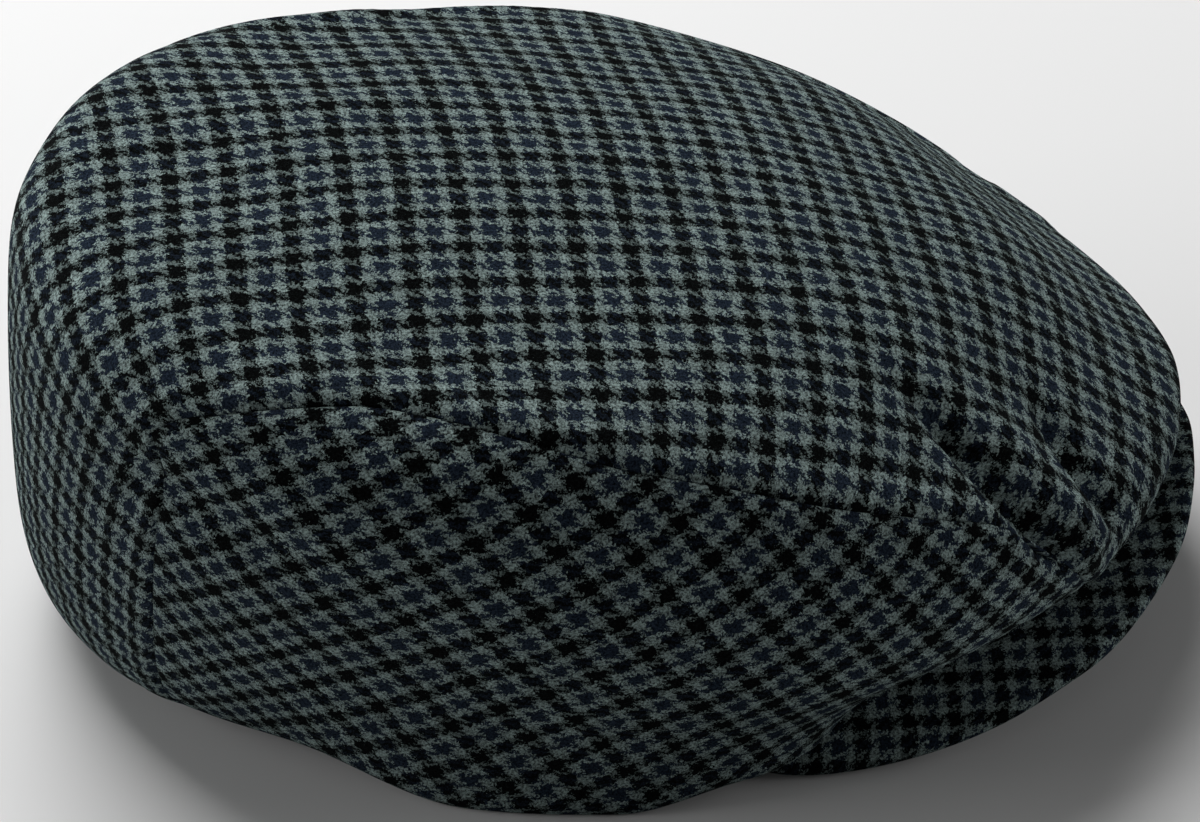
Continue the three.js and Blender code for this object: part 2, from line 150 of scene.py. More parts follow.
def catmull(points, count):
    """Centripetal Catmull-Rom curve through the points, sampled evenly by length."""
    p = np.asarray(points, float)
    ext = np.vstack([2 * p[0] - p[1], p, 2 * p[-1] - p[-2]])
    out = []
    for i in range(len(p) - 1):
        q = ext[i:i + 4]
        t = np.concatenate([[0], np.cumsum(np.maximum(np.linalg.norm(np.diff(q, axis=0), axis=1) ** 0.5, 1e-6))])
        x = np.linspace(t[1], t[2], 24, endpoint=False)[:, None]
        a1 = (t[1] - x) / (t[1] - t[0]) * q[0] + (x - t[0]) / (t[1] - t[0]) * q[1]
        a2 = (t[2] - x) / (t[2] - t[1]) * q[1] + (x - t[1]) / (t[2] - t[1]) * q[2]
        a3 = (t[3] - x) / (t[3] - t[2]) * q[2] + (x - t[2]) / (t[3] - t[2]) * q[3]
        b1 = (t[2] - x) / (t[2] - t[0]) * a1 + (x - t[0]) / (t[2] - t[0]) * a2
        b2 = (t[3] - x) / (t[3] - t[1]) * a2 + (x - t[1]) / (t[3] - t[1]) * a3
        out.append((t[2] - x) / (t[2] - t[1]) * b1 + (x - t[1]) / (t[2] - t[1]) * b2)
    out = np.vstack(out + [p[-1:]])
    s = np.concatenate([[0], np.cumsum(np.linalg.norm(np.diff(out, axis=0), axis=1))])
    want = np.linspace(0, s[-1], count + 1)
    return np.stack([np.interp(want, s, out[:, k]) for k in range(out.shape[1])], -1)


def seam_line(rows, count):
    """A seam on the right side, in disc coordinates."""
    r = np.array(rows, float)
    t = np.radians(r[:, 0])
    return catmull(np.stack([r[:, 1] * np.sin(t), r[:, 1] * np.cos(t)], -1), count)
# ---------------------------------------------------------------- panels as grids on the disc
ROLL = 0.6                     # how far a panel's edge rolls down into a seam
EDGE_STEPS = (0.0, 0.05, 0.18, 0.36, 0.6, 1.3, 2.5)    # distances of the first grid lines from a seam
WALL, HEM = 2.0, 3.2


def spread(total, steps, count):
    """Distances from one end: the fine steps first, then even ones up to total."""
    return np.concatenate([steps, np.linspace(steps[-1], total, count + 1)[1:]])


def seam_edge():
    """The top panel's right edge from the front rim to the back rim, as a dense curve on the disc, with where its corners are."""
    parts = [seam_line(s, 200) for s in (FRONT_SEAM, LONG_SEAM, BACK_SEAM)]
    line = np.vstack([parts[0], parts[1][1:], parts[2][1:]])
    return line, (200, 400)


def top_place(row, share):
    """Disc place of the top panel: row 0 (front rim) to 3 (back rim), corners at 1 and 2; share -1 to 1 across, positive towards -X."""
    line, _ = EDGE
    x = np.interp(row * 200, np.arange(601), line[:, 0])
    y = np.interp(row * 200, np.arange(601), line[:, 1])
    bend = np.where(row < 1, 1 - smooth(0, 1, row), smooth(2, 3, row))
    sign = np.where(row < 1.5, 1.0, -1.0)
    flat = np.sqrt(np.maximum(0, 64 - x * x))
    u = x * share
    return u, y + sign * bend * (np.sqrt(np.maximum(0, 64 - u * u)) - flat)


def side_place(along, down):
    """Disc place of the right side panel: along 0 (front seam) to 1 (back seam), down 0 (long seam) to 1 (rim)."""
    line, _ = EDGE
    n = np.arange(201)
    def at(part, t):
        return np.stack([np.interp(t * 200, n, part[:, 0]), np.interp(t * 200, n, part[:, 1])], -1)
    front, top, back = line[200::-1][:201], line[200:401], line[400:601]
    a0, a1 = FRONT_SEAM[0][0], BACK_SEAM[-1][0]
    t = np.radians(a0 + (a1 - a0) * along)
    low = np.stack([8 * np.sin(t), 8 * np.cos(t)], -1)
    u, v = along[..., None], down[..., None]
    c = [at(top, np.zeros(1))[0], at(top, np.ones(1))[0], at(front, np.ones(1))[0], at(back, np.ones(1))[0]]
    p = ((1 - v) * at(top, along) + v * low + (1 - u) * at(front, down) + u * at(back, down)
         - ((1 - u) * (1 - v) * c[0] + u * (1 - v) * c[1] + (1 - u) * v * c[2] + u * v * c[3]))
    return p[..., 0], p[..., 1]


EDGE = seam_edge()


def length_table(place, fixed, axis, n=160):
    """Cumulative surface length along one parameter (0 to 1) for each value of the other."""
    t = np.linspace(0, 1, n)
    T, F = np.meshgrid(t, fixed, indexing="ij")
    u, v = place(F, T) if axis == 1 else place(T, F)
    p = on_disc(u, v)
    s = np.concatenate([np.zeros((1, len(fixed))), np.cumsum(np.linalg.norm(np.diff(p, axis=0), axis=-1), axis=0)])
    return t, s


def top_grid(cell=1.5):
    """Rows and shares of the top panel's grid."""
    rows = [0.0]
    # lengths of the three stretches along the middle of the panel's edge
    line, _ = EDGE
    s = np.concatenate([[0], np.cumsum(np.linalg.norm(np.diff(on_disc(line[:, 0], line[:, 1]), axis=0), axis=1))])
    mid = on_disc(*top_place(np.linspace(0, 3, 601), np.zeros(601)))
    sm = np.concatenate([[0], np.cumsum(np.linalg.norm(np.diff(mid, axis=0), axis=1))])
    s = (s + sm) / 2
    first = 2.4
    want = np.concatenate([[0.0], np.linspace(first, s[-1] - first, int(round((s[-1] - 2 * first) / cell)) + 1), [s[-1]]])
    rows = np.interp(want, s, np.linspace(0, 3, 601))
    t, cum = length_table(lambda r, sh: top_place(r, sh), rows, 1)
    half = cum[-1]
    count = int(round((half.max() - EDGE_STEPS[-1]) / cell))
    shares = np.zeros((len(rows), count + len(EDGE_STEPS)))
    for i in range(len(rows)):
        d = spread(half[i], np.array(EDGE_STEPS), count)           # from the seam to the middle
        shares[i] = np.interp(half[i] - d, cum[:, i], t)
    full = np.concatenate([-shares, shares[:, -2::-1]], 1)          # left seam, middle, right seam
    R = np.repeat(rows[:, None], full.shape[1], 1)
    return R, full


def side_grid(cell=1.5):
    """Along and down values of a side panel's grid."""
    probe = np.linspace(0, 1, 60)
    t, cum = length_table(lambda al, dn: side_place(al, dn), probe, 0)
    total = cum[-1].max()
    n = int(round((total - 2 * EDGE_STEPS[-1]) / cell))
    t2, cum2 = length_table(lambda al, dn: side_place(al, dn), probe, 1)
    tall = cum2[-1].max()
    m = int(round((tall - EDGE_STEPS[-1]) / cell))
    # even share of the stretch between the fine lines, then the fine lines by true distance
    A = np.zeros((n + 1 + 2 * (len(EDGE_STEPS) - 1), m + len(EDGE_STEPS)))
    D = np.zeros_like(A)
    steps = np.array(EDGE_STEPS)
    k = np.linspace(0, 1, m + 1)[1:]
    # down positions depend on along, along positions on down: two passes
    down0 = np.concatenate([steps / tall, steps[-1] / tall + (1 - steps[-1] / tall) * k])
    base_al = np.linspace(0, 1, A.shape[0])
    for j, dn in enumerate(down0):
        tt = np.linspace(0, 1, 200)
        p = on_disc(*side_place(tt, np.full(200, min(dn, 1.0))))
        s = np.concatenate([[0], np.cumsum(np.linalg.norm(np.diff(p, axis=0), axis=1))])
        w = np.concatenate([steps, np.linspace(steps[-1], s[-1] - steps[-1], n + 1)[1:-1], s[-1] - steps[::-1]])
        A[:, j] = np.interp(w, s, tt)
    for i in range(A.shape[0]):
        tt = np.linspace(0, 1, 200)
        al = np.interp(tt, down0, A[i])
        p = on_disc(*side_place(al, tt))
        s = np.concatenate([[0], np.cumsum(np.linalg.norm(np.diff(p, axis=0), axis=1))])
        last = 2.4
        w = np.concatenate([steps, np.linspace(steps[-1], s[-1] - last, m)[1:], [s[-1]]])
        D[i] = np.interp(w, s, tt)
        A[i] = np.interp(D[i], down0, A[i])
    return A, D


# ---------------------------------------------------------------- flat cloth coordinates
def flatten(points, faces, start, rounds=60):
    """Lays a curved panel flat with as little stretch as possible (local rotations, then one sparse solve kept dense)."""
    n = len(points)
    tri = points[faces]
    e1 = tri[:, 1] - tri[:, 0]
    e2 = tri[:, 2] - tri[:, 0]
    x1 = np.linalg.norm(e1, axis=1)
    ax = e1 / x1[:, None]
    x2 = (e2 * ax).sum(1)
    y2 = np.linalg.norm(e2 - x2[:, None] * ax, axis=1)
    flat = np.zeros((len(faces), 3, 2))
    flat[:, 1, 0] = x1
    flat[:, 2, 0] = x2
    flat[:, 2, 1] = y2
    cot = np.zeros((len(faces), 3))
    for k in range(3):
        a, b = flat[:, (k + 1) % 3] - flat[:, k], flat[:, (k + 2) % 3] - flat[:, k]
        cr = np.abs(a[:, 0] * b[:, 1] - a[:, 1] * b[:, 0])
        cot[:, k] = (a * b).sum(1) / np.maximum(cr, 1e-9)
    cot = np.clip(cot, 0.02, 20)
    L = np.zeros((n, n))
    for k in range(3):
        i, j, w = faces[:, (k + 1) % 3], faces[:, (k + 2) % 3], cot[:, k]
        np.add.at(L, (i, j), -w); np.add.at(L, (j, i), -w)
        np.add.at(L, (i, i), w); np.add.at(L, (j, j), w)
    L[0, 0] += 1e3 * 0 + 1.0
    inv = np.linalg.inv(L + 1e-9 * np.eye(n))
    uv = start.astype(float).copy()
    for _ in range(rounds):
        cur = uv[faces]
        S = np.zeros((len(faces), 2, 2))
        for k in range(3):
            a, b = (k + 1) % 3, (k + 2) % 3
            df, dc = flat[:, a] - flat[:, b], cur[:, a] - cur[:, b]
            S += cot[:, k, None, None] * dc[:, :, None] * df[:, None, :]
        # nearest rotation to S, without flips
        p, q = S[:, 0, 0] + S[:, 1, 1], S[:, 1, 0] - S[:, 0, 1]
        h = np.maximum(np.hypot(p, q), 1e-12)
        c, s = p / h, q / h
        rot = np.stack([np.stack([c, -s], -1), np.stack([s, c], -1)], -2)
        rhs = np.zeros((n, 2))
        for k in range(3):
            a, b = (k + 1) % 3, (k + 2) % 3
            d = cot[:, k, None] * np.einsum("fij,fj->fi", rot, flat[:, a] - flat[:, b])
            np.add.at(rhs, faces[:, a], d); np.add.at(rhs, faces[:, b], -d)
        rhs[0] += 1.0 * uv[0]
        uv = inv @ rhs
    return uv


def grid_faces(nr, nc):
    i, j = np.meshgrid(np.arange(nr - 1), np.arange(nc - 1), indexing="ij")
    a = (i * nc + j).ravel()
    b, c, d = a + nc, a + nc + 1, a + 1
    # the diagonal alternates, so that the flat pattern has no lean
    odd = ((i + j) % 2).ravel().astype(bool)
    f1 = np.where(odd[:, None], np.stack([a, b, c], -1), np.stack([a, b, d], -1))
    f2 = np.where(odd[:, None], np.stack([a, c, d], -1), np.stack([b, c, d], -1))
    return np.vstack([f1, f2])


def bicubic(table, x, y):
    """Catmull-Rom read of table (rows, columns, k) at fractional places."""
    nr, nc = table.shape[:2]
    def w(t):
        return np.stack([-0.5 * t + t * t - 0.5 * t**3, 1 - 2.5 * t * t + 1.5 * t**3, 0.5 * t + 2 * t * t - 1.5 * t**3, -0.5 * t * t + 0.5 * t**3], -1)
    pad = np.zeros((nr + 2, nc + 2, table.shape[2]))
    pad[1:-1, 1:-1] = table
    pad[0, 1:-1], pad[-1, 1:-1] = 2 * table[0] - table[1], 2 * table[-1] - table[-2]
    pad[:, 0], pad[:, -1] = 2 * pad[:, 1] - pad[:, 2], 2 * pad[:, -2] - pad[:, -3]
    i = np.clip(np.floor(x).astype(int), 0, nr - 2)
    j = np.clip(np.floor(y).astype(int), 0, nc - 2)
    wx, wy = w(x - i), w(y - j)
    out = 0
    for a in range(4):
        for b in range(4):
            out = out + (wx[..., a] * wy[..., b])[..., None] * pad[i + a, j + b]
    return out


def flat_map(place, nr, nc, lo, hi, start):
    """Flat cloth coordinates (mm) of a panel as a table over its two parameters."""
    a = np.linspace(lo[0], hi[0], nr)
    b = np.linspace(lo[1], hi[1], nc)
    A, B = np.meshgrid(a, b, indexing="ij")
    P = on_disc(*place(A, B)).reshape(-1, 3)
    uv = flatten(P, grid_faces(nr, nc), start(P))
    return uv.reshape(nr, nc, 2), P.reshape(nr, nc, 3)


# ---------------------------------------------------------------- how the weave runs over the panels
# Flat places (mm, less the middle, over 100) to pattern places, in steps of 8 threads, as polynomial terms u^i v^j.
# Columns: i, j, step along the first thread direction, step along the second.
REPEAT = (6.10, 5.40)          # mm to 8 threads, each way
WEAVE_TOP = {"middle": (-128.28, -11.38), "degree": 5, "terms": (
    (-0.2648, -0.7318), (1.05, -18.9029), (1.218, -0.1159), (1.5191, 0.1676), (-1.4197, 0.1994), (-1.7806, 0.3808),
    (17.2062, 1.0046), (0.3565, -2.48), (-5.1365, -1.3958), (-1.1312, 1.3416), (3.4178, 0.3923), (0.2116, 0.446),
    (0.4471, 0.0815), (0.6761, 0.6759), (-0.2266, 0.2759), (0.0833, 0.0785), (0.1557, 0.5698), (-0.0231, 0.1909),
    (-0.0883, 0.0288), (-0.0828, -0.0812), (-0.0222, -0.0112))}
WEAVE_SIDE = {"middle": (139.953, -147.231), "degree": 4, "terms": (
    (-0.5528, 0.2913), (6.4369, 17.1918), (1.9087, 1.6817), (0.706, 0.2497), (0.0023, -1.4863), (-14.1956, 7.5191),
    (-0.0438, 0.7036), (-2.7097, 1.8415), (-1.194, -0.0721), (-0.4961, -0.3719), (0.4171, -3.5975), (-3.7004, -6.4071),
    (-0.3402, -1.2182), (5.6581, -2.3907), (3.718, -1.8154))}


def weave_places(uv, table):
    u = (uv[..., 0] - table["middle"][0]) / 100
    v = (uv[..., 1] - table["middle"][1]) / 100
    out, k = 0, 0
    for i in range(table["degree"] + 1):
        for j in range(table["degree"] + 1 - i):
            out = out + (u**i * v**j)[..., None] * np.array(table["terms"][k])
            k += 1
    return out


# ---------------------------------------------------------------- folds
# name, height, width, share on the left side, sides, line of (angle, ring)
FOLDS = (
    ("tuck beside the front of the seam", -6.0, 3.8, 0.0, "both", ((39.5, 3.0), (38.6, 3.8), (38.4, 4.4), (36.6, 4.95), (33.6, 5.35))),
    ("roll between the two tucks", 3.2, 6.0, 0.0, "both", ((31.5, 3.3), (32.5, 4.2), (31.5, 4.9), (29.5, 5.5))),
    ("second tuck", -4.8, 3.8, 0.0, "both", ((22.5, 3.6), (25.5, 4.3), (26.5, 4.8), (25.5, 5.3))),
    ("ridge beside the long seam", 0.9, 4.0, 1.0, "both", ((142, 4.6), (136, 4.1), (129.5, 3.7), (117, 3.65), (104.5, 3.8), (88, 3.85), (73, 3.83))),
    ("hollow under the back corner", -2.4, 7.0, 0.8, "both", ((148, 5.6), (143, 5.7), (134, 5.75), (123.5, 6.0))),
    ("fullness over the brow", 0.9, 12.0, 1.0, "left", ((-31, 4.6), (-26, 4.7), (-21, 4.75))),
    ("shoulder drawn in by its seam", -1.1, 13.0, 1.0, "left", ((-122, 4.1), (-112, 4.1), (-104, 4.1), (-97, 4.0), (-89, 4.0), (-78, 3.9))),
    ("crease along the top", 0.8, 5.0, 1.0, "left", ((181.5, 4.83), (184, 4.2), (187, 3.4), (193, 2.8), (204.5, 1.83), (229.5, 0.97))),
)


def fold_lines():
    out = []
    for name, height, width, left, sides, line in FOLDS:
        line = np.array(line, float)
        t = np.linspace(0, len(line) - 1, 8 * (len(line) - 1) + 1)
        a = np.interp(t, np.arange(len(line)), line[:, 0])
        r = np.interp(t, np.arange(len(line)), line[:, 1])
        if sides == "both":
            out.append((crown_base(a, r), height, width))
            out.append((crown_base(-a, r), height * left, width))
        else:
            out.append((crown_base(a, r), height, width))
    return out


FOLD_LINES = fold_lines()


def fold_height(P):
    flat = P.reshape(-1, 3)
    out = np.zeros(len(flat))
    for pts, height, width in FOLD_LINES:
        best, at = np.full(len(flat), 1e9), np.zeros(len(flat))
        for k, p in enumerate(pts):
            d = ((flat - p) ** 2).sum(1)
            m = d < best
            best[m], at[m] = d[m], k / (len(pts) - 1)
        fade = smooth(0, 0.25, at) * (1 - smooth(0.75, 1, at))
        out += height * (0.15 + 0.85 * fade) * np.exp(-best / width**2)
    return out.reshape(P.shape[:-1])


def lumps(P):
    """Very soft unevenness of cloth over its backing, in mm."""
    x, y, z = P[..., 0], P[..., 1], P[..., 2]
    out = 0
    for kx, ky, kz, ph, amp in ((0.083, 0.047, 0.061, 0.4, 0.22), (-0.061, 0.109, 0.039, 2.1, 0.18), (0.131, -0.072, 0.117, 4.0, 0.12),
                                (0.19, 0.151, -0.093, 1.3, 0.09), (-0.217, 0.083, 0.178, 5.2, 0.07)):
        out = out + amp * np.sin(kx * x + ky * y + kz * z + ph)
    return out * (1 - 0.75 * np.exp(-((x - 52) ** 2 + (y + 108) ** 2 + (z - 57) ** 2) / 30**2))


def cumulative(P, axis):
    d = np.linalg.norm(np.diff(P, axis=axis), axis=-1)
    s = np.cumsum(d, axis=axis)
    return np.concatenate([np.zeros_like(np.take(s, [0], axis)), s], axis)


def roll_drop(d):
    """How far the cloth has rolled down at distance d from a seam."""
    k = np.clip(1 - d / ROLL, 0, 1)
    return ROLL * (1 - np.sqrt(np.maximum(0, 1 - k * k)))


def panel_faces_of_wall(u, v, seam_d, allowance):
    """Outer and inner faces of a panel's wall at disc places, given the distance to the nearest seam."""
    base = on_disc(u, v)
    n, _, _ = disc_frame(u, v)
    ring = np.hypot(u, v)
    calm = 1 - smooth(7.2, 8, ring)
    lift = (fold_height(base) + lumps(base)) * calm - roll_drop(seam_d)
    if allowance:
        lift = lift + 0.5 * smooth(0.6, 1.8, seam_d) * (1 - smooth(6.4, 8.2, seam_d)) * calm
    lift = lift + 0.25 * np.exp(-((seam_d - 3.2) / 2.2) ** 2) * calm
    outer = base + n * lift[..., None]
    thick = WALL + (HEM - WALL) * smooth(7.2, 8, ring)
    low = np.maximum(thick, 0)
    inner = base + n * (lift * (seam_d > ROLL) - low)[..., None]
    return outer, inner, ring, n


def rim_arc(outer_edge, inner_edge, toward, count=4):
    """Rounds the rim between the two faces; toward points along the wall, away from the rim."""
    mid = (outer_edge + inner_edge) / 2
    half = (outer_edge - inner_edge) / 2
    r = np.linalg.norm(half, axis=-1, keepdims=True)
    t = toward / np.linalg.norm(toward, axis=-1, keepdims=True)
    centre = mid + t * r
    rows = []
    for k in range(count + 1):
        a = math.pi * k / count
        rows.append(centre + half * math.cos(a) - t * r * math.sin(a))
    return rows     # first is the new outer edge, last the new inner edge


def loop_mesh(name, outer, inner, arc_lo, arc_hi, weave_outer, weave_lo, weave_hi, flip):
    """A closed shell from two grids (loop axis first). arc_lo and arc_hi are extra rows round the rims, or None."""
    rows = [outer[i] for i in range(len(outer))]
    weave = [weave_outer[i] for i in range(len(outer))]
    n_out = len(rows)
    hi = arc_hi if arc_hi is not None else []
    lo = arc_lo if arc_lo is not None else []
    rows += hi; weave += weave_hi if hi else []
    rows += [inner[i] for i in range(len(inner) - 1, -1, -1)]
    weave += [weave_outer[i] for i in range(len(inner) - 1, -1, -1)]
    rows += lo; weave += weave_lo if lo else []
    V = np.array(rows)
    Wv = np.array(weave)
    nr, nc = V.shape[:2]
    i, j = np.meshgrid(np.arange(nr), np.arange(nc - 1), indexing="ij")
    a = (i * nc + j).ravel(); b = (((i + 1) % nr) * nc + j).ravel()
    quads = np.stack([a, b, b + 1, a + 1], -1)
    faces = [tuple(q) for q in (quads[:, ::-1] if flip else quads)]
    total = nr
    for col, turn in ((0, not flip), (nc - 1, flip)):
        def cap(ids):
            ids = [k * nc + col for k in ids]
            faces.append(tuple(ids if turn else ids[::-1]))
        inn = lambda k: n_out + len(hi) + (n_out - 1 - k)
        for k in range(n_out - 1):
            cap([k + 1, k, inn(k), inn(k + 1)][::-1] if False else [k, inn(k), inn(k + 1), k + 1])
        if hi:
            cap([n_out - 1] + [inn(n_out - 1)] + [n_out + len(hi) - 1 - t for t in range(len(hi))])
        if lo:
            cap([inn(0), 0] + [total - 1 - t for t in range(len(lo))])
    return make_mesh(name, V.reshape(-1, 3), faces, Wv.reshape(-1, 2))


def make_mesh(name, points, faces, weave):
    me = bpy.data.meshes.new(name)
    me.from_pydata([tuple(p) for p in (points / 1000.0)], [], faces)
    me.validate()
    me.update()
    uv = me.uv_layers.new(name="Weave")
    idx = np.zeros(len(me.loops), np.int32)
    me.loops.foreach_get("vertex_index", idx)
    uv.data.foreach_set("uv", weave[idx].astype(np.float32).ravel())
    me.polygons.foreach_set("use_smooth", np.ones(len(me.polygons), bool))
    ob = bpy.data.objects.new(name, me)
    bpy.context.scene.collection.objects.link(ob)
    # faces look outwards
    import bmesh
    bm = bmesh.new(); bm.from_mesh(me)
    bmesh.ops.recalc_face_normals(bm, faces=bm.faces)
    bm.to_mesh(me); bm.free()
    me.update()
    return ob


def keep_above(P):
    P[..., 2] = np.maximum(P[..., 2], 0.0)
    return P


def extend(w_edge, w_next, s_edge, rows):
    """Pattern places carried on round a rim: same step a millimetre as in the last cell."""
    step = (w_edge - w_next) / np.maximum(s_edge, 1e-6)[:, None]
    out, run = [], 0
    for k in range(1, len(rows)):
        run = run + np.linalg.norm(rows[k] - rows[k - 1], axis=-1)
        out.append(w_edge + step * run[:, None])
    return out


# ---------------------------------------------------------------- top panel
def build_top():
    R, S = top_grid(1.5)
    u, v = top_place(R, S)
    table, _ = flat_map(top_place, 49, 25, (0, -1), (3, 1), lambda P: np.stack([-P[:, 1], P[:, 0]], -1))
    flat = bicubic(table, R / 3 * 48, (S + 1) / 2 * 24)
    W = weave_places(flat, WEAVE_TOP)
    P = on_disc(u, v)
    s = cumulative(P, 1)
    d = np.minimum(s, s[:, -1:] - s)
    outer, inner, ring, n = panel_faces_of_wall(u, v, d, True)
    for g in (outer, inner):
        keep_above(g)
    lo = rim_arc(outer[0], rim_inner(outer[0], P[0]), outer[2] - outer[0])
    hi = rim_arc(outer[-1], rim_inner(outer[-1], P[-1]), outer[-3] - outer[-1])
    gap0, gap1 = np.linalg.norm(outer[1] - lo[0], axis=-1), np.linalg.norm(outer[-2] - hi[0], axis=-1)
    outer[0], inner[0] = lo[0], lo[-1]
    outer[-1], inner[-1] = hi[0], hi[-1]
    wl = extend(W[0], W[1], np.linalg.norm(P[0] - P[1], axis=-1), lo)
    wh = extend(W[-1], W[-2], np.linalg.norm(P[-1] - P[-2], axis=-1), hi)
    lo_mid = [keep_above(x.copy()) for x in lo[1:-1]][::-1]
    hi_mid = [keep_above(x.copy()) for x in hi[1:-1]]
    return loop_mesh("crown_top", outer, inner, lo_mid, hi_mid, W, wl[:-1][::-1], wh[:-1], True), table, flat


def rim_inner(outer_edge, base):
    """The inner edge of the rim, a hem's thickness towards the cap's middle."""
    x, y = outer_edge[..., 0], outer_edge[..., 1] - CENTRE_Y
    r = np.hypot(x, y)
    k = (r - HEM) / r
    p = np.stack([x * k, CENTRE_Y + y * k, outer_edge[..., 2]], -1)
    ang = np.degrees(np.arctan2(-p[..., 0], CENTRE_Y - p[..., 1]))
    p[..., 2] = rim_height(ang, p[..., 0], p[..., 1])
    return p


# ---------------------------------------------------------------- side panels
def build_side(name, side):
    A, D = side_grid(1.5)
    u, v = side_place(A, D)
    table, _ = flat_map(side_place, 41, 15, (0, 0), (1, 1), lambda P: np.stack([-P[:, 1], -P[:, 2]], -1))
    flat = bicubic(table, A * 40, D * 14)
    W = weave_places(flat, WEAVE_SIDE)
    P = on_disc(u * side, v)
    s1, s2 = cumulative(P, 1), cumulative(P, 0)
    d = np.minimum(np.minimum(s1, s2), s2[-1:] - s2)
    outer, inner, ring, n = panel_faces_of_wall(u * side, v, d, False)
    for g in (outer, inner):
        keep_above(g)
    outer, inner, W, P = (x.transpose(1, 0, 2) for x in (outer, inner, W, P))   # loop axis is down
    hi = rim_arc(outer[-1], rim_inner(outer[-1], P[-1]), outer[-3] - outer[-1])
    outer, inner = outer.copy(), inner.copy()
    outer[-1], inner[-1] = hi[0], hi[-1]
    wh = extend(W[-1], W[-2], np.linalg.norm(P[-1] - P[-2], axis=-1), hi)
    hi_mid = [keep_above(x.copy()) for x in hi[1:-1]]
    return loop_mesh(name, outer, inner, None, hi_mid, W, [], wh[:-1], side > 0)


# ---------------------------------------------------------------- peak
def build_peak():
    rows = np.array(PEAK_ROWS)
    half = np.stack([rows[:, 1], rows[:, 0]], -1)
    line = catmull(np.vstack([half[:0:-1] * (-1, 1), half]), 230)
    ang = np.degrees(np.arctan2(-line[:, 0], CENTRE_Y - line[:, 1]))
    rel = line - (0, CENTRE_Y)
    reach = np.hypot(rel[:, 0], rel[:, 1])
    dirn = rel / reach[:, None]
    free, held = reach - 7, around("rimR", ang) - PEAK_IN
    gap = np.maximum(0, 4 - np.abs(free - held))
    root = np.minimum(free, held) - gap * gap / 16
    edge = PEAK_THICK / 2
    rings, spread_to = [], []
    def at(r, low):
        x, y = dirn[:, 0] * r, CENTRE_Y + dirn[:, 1] * r
        return np.stack([x, y, np.maximum(0, peak_top(x, y) - low)], -1)
    nR, nE = 34, 8
    for k in range(nR + 1):
        spread_to.append(root + (reach - edge - root) * k / nR)
        rings.append(at(spread_to[-1], 0))
    for k in range(1, nE):
        a = math.pi * k / nE
        spread_to.append(reach - edge + edge * a)
        rings.append(at(reach - edge + edge * math.sin(a), edge - edge * math.cos(a)))
    for k in range(nR, -1, -1):
        r = root + (reach - edge - root) * k / nR
        spread_to.append(r + edge * math.pi)
        rings.append(at(r, PEAK_THICK))
    V = np.array(rings)
    # the cloth's own coordinates go on over the rounded edge and back along the underside
    spread_to = np.array(spread_to)
    flat_x, flat_y = dirn[:, 0] * spread_to, CENTRE_Y + dirn[:, 1] * spread_to
    slope = (PEAK_RISE - PEAK_END) / PEAK_HALF**2
    t = 2 * slope * flat_x
    across = (t * np.sqrt(1 + t * t) + np.arcsinh(t)) / (4 * slope)
    Wv = np.stack([-1.12 * flat_y / REPEAT[0] + 0.3, 1.12 * across / REPEAT[1] + 0.1], -1)
    nr, nc = V.shape[:2]
    i, j = np.meshgrid(np.arange(nr), np.arange(nc - 1), indexing="ij")
    a = (i * nc + j).ravel(); b = (((i + 1) % nr) * nc + j).ravel()
    faces = [tuple(q) for q in np.stack([a, b, b + 1, a + 1], -1)]
    for col in (0, nc - 1):
        ids = [k * nc + col for k in range(nr)]
        faces.append(tuple(ids if col else ids[::-1]))
    return make_mesh("peak_cover", V.reshape(-1, 3), faces, Wv.reshape(-1, 2))


crown_top, top_table, top_flat = build_top()
side_right = build_side("crown_side_right", 1)
side_left = build_side("crown_side_left", -1)
peak = build_peak()


# ---------------------------------------------------------------- cloth material
class Nodes:
    def __init__(self, material):
        material.use_nodes = True
        self.t = material.node_tree
        self.t.nodes.clear()

    def add(self, kind, **props):
        n = self.t.nodes.new(kind)
        for k, v in props.items():
            setattr(n, k, v)
        return n

    def link(self, a, b):
        self.t.links.new(a, b)

    def _in(self, socket, value):
        if isinstance(value, (int, float)):
            socket.default_value = value
        elif isinstance(value, tuple):
            socket.default_value = value
        else:
            self.link(value, socket)

    def math(self, op, a, b=None, c=None, clamp=False):
        n = self.add("ShaderNodeMath", operation=op, use_clamp=clamp)
        for s, v in zip(n.inputs, (a, b, c)):
            if v is not None:
                self._in(s, v)
        return n.outputs[0]

    def vec(self, op, a, b=None, scale=None):
        n = self.add("ShaderNodeVectorMath", operation=op)
        self._in(n.inputs[0], a)
        if b is not None:
            self._in(n.inputs[1], b)
        if scale is not None:
            self._in(n.inputs["Scale"], scale)
        return n.outputs[0]

    def noise(self, vector, scale, detail=2.0, rough=0.5, dims="3D", distortion=0.0, w=0.0):
        n = self.add("ShaderNodeTexNoise", noise_dimensions=dims)
        self.link(vector, n.inputs["Vector"])
        n.inputs["Scale"].default_value = scale
        n.inputs["Detail"].default_value = detail
        n.inputs["Roughness"].default_value = rough
        n.inputs["Distortion"].default_value = distortion
        return n

    def mix(self, fac, a, b):
        n = self.add("ShaderNodeMix", data_type="RGBA")
        self._in(n.inputs[0], fac)
        self._in(n.inputs[6], a)
        self._in(n.inputs[7], b)
        return n.outputs[2]

    def ramp(self, v, lo, hi, out_lo=0.0, out_hi=1.0, smooth_step=True):
        n = self.add("ShaderNodeMapRange", interpolation_type="SMOOTHSTEP" if smooth_step else "LINEAR")
        self._in(n.inputs["Value"], v)
        n.inputs["From Min"].default_value = lo
        n.inputs["From Max"].default_value = hi
        n.inputs["To Min"].default_value = out_lo
        n.inputs["To Max"].default_value = out_hi
        return n.outputs[0]


GREY = (0.262, 0.338, 0.326, 1.0)
NAVY = (0.0165, 0.0255, 0.0430, 1.0)
BLACK = (0.0020, 0.0023, 0.0024, 1.0)


